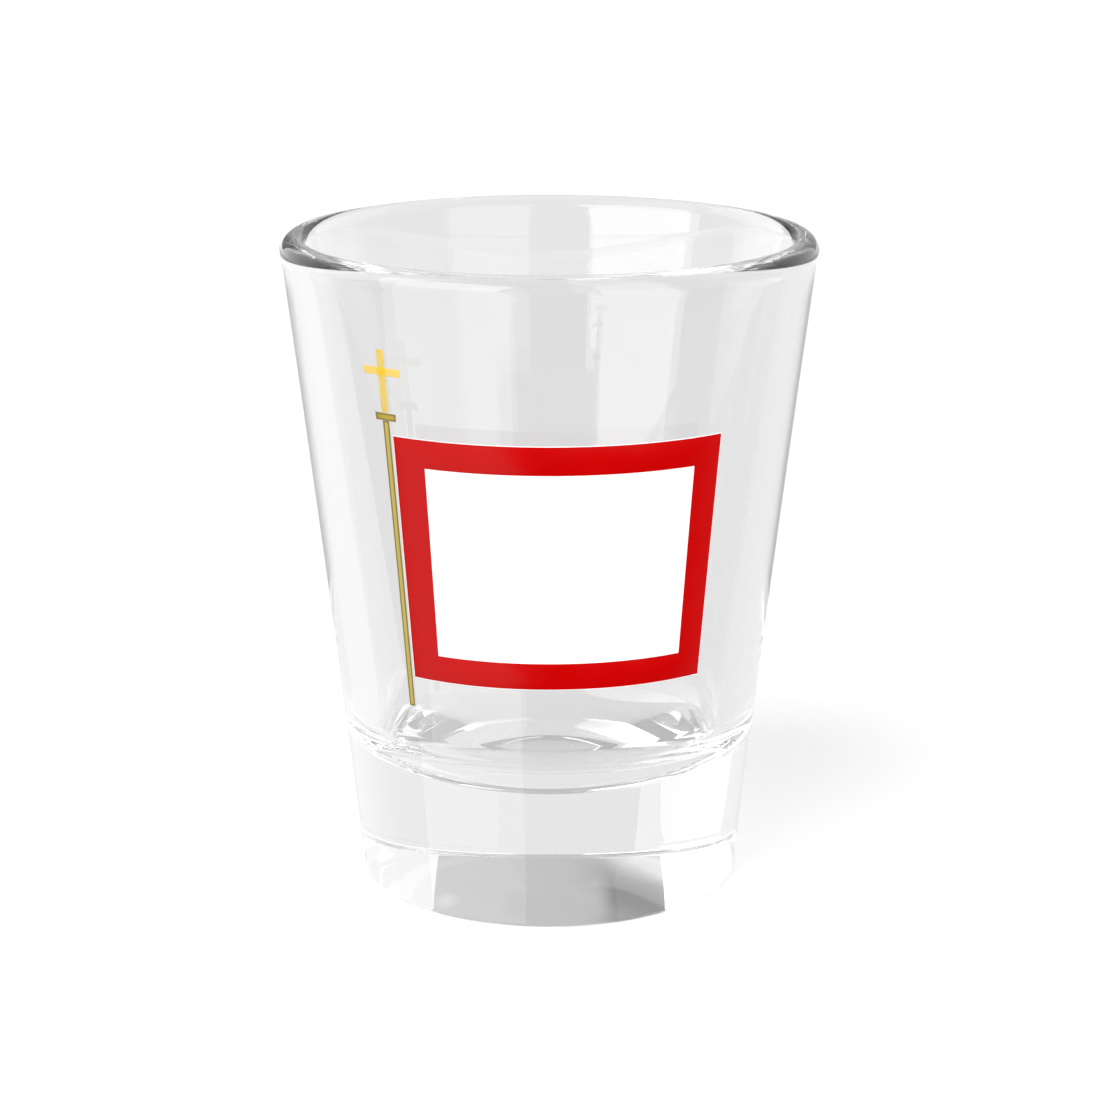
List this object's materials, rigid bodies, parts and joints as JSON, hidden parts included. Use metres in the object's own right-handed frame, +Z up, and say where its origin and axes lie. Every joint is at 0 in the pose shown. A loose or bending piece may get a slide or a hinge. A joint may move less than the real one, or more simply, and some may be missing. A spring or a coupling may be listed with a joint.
{
  "type": "printed shot glass",
  "caption": "Clear tapered shot glass with a thick solid base and a printed picture of a bordered flag on a staff.",
  "frame": {"origin": "centre of the flat foot, on the surface the glass stands on", "axes": "+Z up along the glass's axis, from the foot to the mouth; the printed picture faces -Y; +X is to the right of a viewer who faces the print"},
  "size_m": [0.0486, 0.0486, 0.06],
  "materials": {
    "clear_glass": "clear, fire polished",
    "white_ink": "glossy opaque ink film",
    "red_ink": "glossy opaque ink film",
    "staff_gold_ink": "glossy opaque ink film",
    "outline_ink": "glossy opaque ink film",
    "collar_gold_ink": "glossy opaque ink film",
    "cross_yellow_ink": "glossy see-through ink film"
  },
  "bodies": {
    "root": {"glass_body": "clear_glass", "flag_white_base_ink": "white_ink", "flag_red_border_ink": "red_ink", "staff_gold_ink": "staff_gold_ink", "staff_outline_ink": "outline_ink", "collar_gold_ink": "collar_gold_ink", "collar_outline_ink": "outline_ink", "cross_upright_ink": "cross_yellow_ink", "cross_arm_ink": "cross_yellow_ink"}
  },
  "joints": []
}
